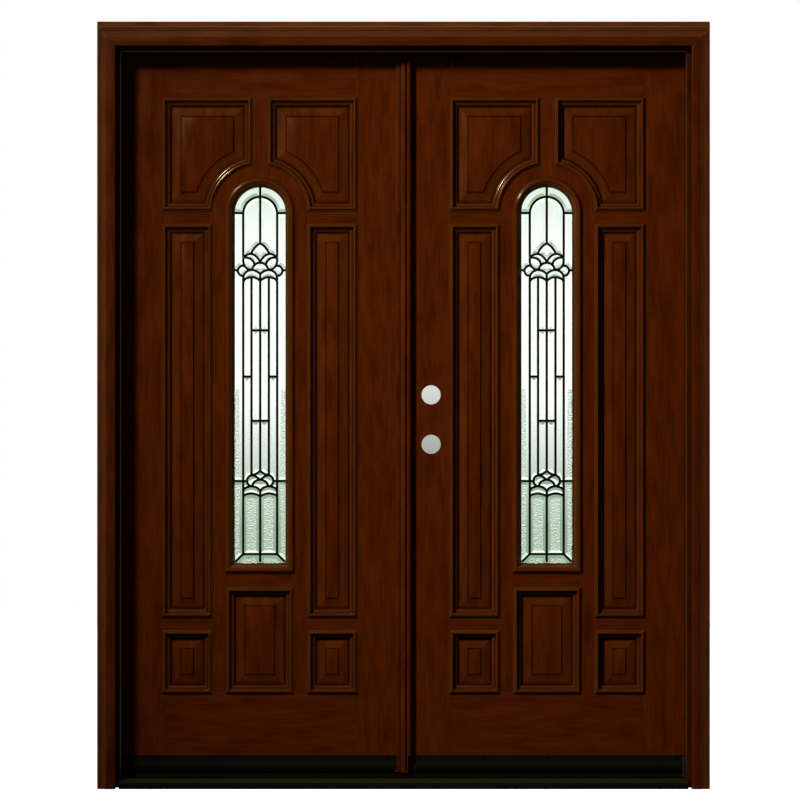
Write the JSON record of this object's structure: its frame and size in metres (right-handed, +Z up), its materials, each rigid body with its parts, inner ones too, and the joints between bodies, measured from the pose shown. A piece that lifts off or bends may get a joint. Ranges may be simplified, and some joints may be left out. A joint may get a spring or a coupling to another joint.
{
  "type": "double entry door unit",
  "caption": "Prehung inswing double entry door in dark mahogany: raised panels, arched leaded glass lites, casing, sill and hinges, one leaf bored for a lock.",
  "frame": {"origin": "middle of the sill's underside, in the plane of the jambs' outer edges", "axes": "+Z up, +Y into the building, +X to the right as seen from outside"},
  "size_m": [1.7058, 0.1625, 2.1378],
  "materials": {
    "jamb_mahogany": "satin lacquer",
    "casing_mahogany": "satin lacquer",
    "framing_mahogany": "satin lacquer",
    "moulded_mahogany": "satin lacquer",
    "seal_vinyl": "matt",
    "sill_bronze": "satin",
    "saddle_bronze": "matt",
    "shoe_black": "satin",
    "hinge_bronze": "satin",
    "clear_glass": "clear",
    "came_lead": "satin"
  },
  "bodies": {
    "frame": {"head_casing": "casing_mahogany", "head_drip_cap": "casing_mahogany", "head_jamb": "jamb_mahogany", "head_seal": "seal_vinyl", "left_bottom_hinge_frame_plate": "hinge_bronze", "left_casing": "casing_mahogany", "left_jamb": "jamb_mahogany", "left_middle_hinge_frame_plate": "hinge_bronze", "left_seal": "seal_vinyl", "left_top_hinge_frame_plate": "hinge_bronze", "right_bottom_hinge_frame_plate": "hinge_bronze", "right_casing": "casing_mahogany", "right_jamb": "jamb_mahogany", "right_middle_hinge_frame_plate": "hinge_bronze", "right_seal": "seal_vinyl", "right_top_hinge_frame_plate": "hinge_bronze", "sill": "sill_bronze", "sill_saddle": "saddle_bronze"},
    "left_leaf": {"left_astragal": "moulded_mahogany", "left_bottom_hinge_leaf_plate": "hinge_bronze", "left_bottom_rail": "framing_mahogany", "left_centre_frame": "framing_mahogany", "left_door_shoe": "shoe_black", "left_glass_unit": "clear_glass", "left_hinge_stile": "framing_mahogany", "left_lite_frame": "moulded_mahogany", "left_low_panel_centre": "moulded_mahogany", "left_low_panel_inner": "moulded_mahogany", "left_low_panel_outer": "moulded_mahogany", "left_meeting_stile": "framing_mahogany", "left_middle_hinge_leaf_plate": "hinge_bronze", "left_tall_panel_inner": "moulded_mahogany", "left_tall_panel_outer": "moulded_mahogany", "left_top_hinge_leaf_plate": "hinge_bronze", "left_top_panel_inner": "moulded_mahogany", "left_top_panel_outer": "moulded_mahogany", "left_top_rail": "framing_mahogany"},
    "right_leaf": {"right_bottom_hinge_leaf_plate": "hinge_bronze", "right_bottom_rail": "framing_mahogany", "right_centre_frame": "framing_mahogany", "right_door_shoe": "shoe_black", "right_glass_unit": "clear_glass", "right_hinge_stile": "framing_mahogany", "right_lite_frame": "moulded_mahogany", "right_lock_stile": "framing_mahogany", "right_low_panel_centre": "moulded_mahogany", "right_low_panel_inner": "moulded_mahogany", "right_low_panel_outer": "moulded_mahogany", "right_middle_hinge_leaf_plate": "hinge_bronze", "right_tall_panel_inner": "moulded_mahogany", "right_tall_panel_outer": "moulded_mahogany", "right_top_hinge_leaf_plate": "hinge_bronze", "right_top_panel_inner": "moulded_mahogany", "right_top_panel_outer": "moulded_mahogany", "right_top_rail": "framing_mahogany"}
  },
  "joints": [
    {"name": "left_leaf_hinge", "type": "hinge", "parent": "frame", "child": "left_leaf", "pos_m": [-0.8037, 0.1235, 1.05], "axis": [0, 0, 1], "range_deg": [0, 110]},
    {"name": "right_leaf_hinge", "type": "hinge", "parent": "frame", "child": "right_leaf", "pos_m": [0.8037, 0.1235, 1.05], "axis": [0, 0, -1], "range_deg": [0, 110]}
  ]
}
